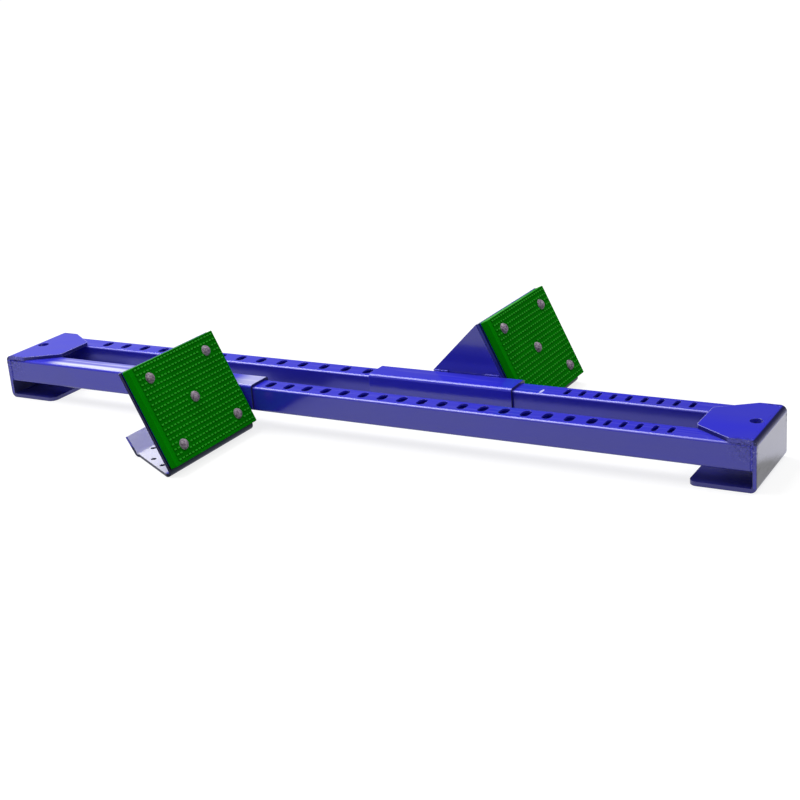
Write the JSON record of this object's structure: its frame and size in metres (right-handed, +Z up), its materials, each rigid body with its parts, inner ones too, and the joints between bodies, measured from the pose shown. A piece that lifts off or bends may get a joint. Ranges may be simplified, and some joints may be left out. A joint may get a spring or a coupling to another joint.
{
  "type": "starting blocks",
  "caption": "Low slotted steel frame on folded end plates, with sloping rubber faced foot pedals that ride on its rails and lock into the slots.",
  "frame": {"origin": "on the ground, midway between the two rails and the two ends", "axes": "+X along the rails in the running direction, +Y to the runner's left, +Z up"},
  "size_m": [0.85, 0.3668, 0.1025],
  "materials": {
    "enamel": "glossy light blue enamel on folded and welded steel",
    "rubber": "green rubber tread with rows of small raised pips",
    "rivet": "dull grey rivet heads"
  },
  "bodies": {
    "frame": {"near_rail": "enamel", "far_rail": "enamel", "left_end_plate": "enamel", "right_end_plate": "enamel", "left_frame_welds": "enamel", "right_frame_welds": "enamel"},
    "near_pedal": {"near_sleeve": "enamel", "near_locking_tooth": "enamel", "near_side_plate": "enamel", "near_pedal_plate": "enamel", "near_pad": "rubber", "near_rivets": "rivet", "near_pedal_welds": "enamel"},
    "far_pedal": {"far_sleeve": "enamel", "far_locking_tooth": "enamel", "far_side_plate": "enamel", "far_pedal_plate": "enamel", "far_pad": "rubber", "far_rivets": "rivet", "far_pedal_welds": "enamel"}
  },
  "joints": [
    {"name": "near_pedal_slide", "type": "slide", "parent": "frame", "child": "near_pedal", "axis": [1, 0, 0], "range_m": [-0.0868, 0.434]},
    {"name": "far_pedal_slide", "type": "slide", "parent": "frame", "child": "far_pedal", "axis": [1, 0, 0], "range_m": [-0.3696, 0.1056]}
  ]
}
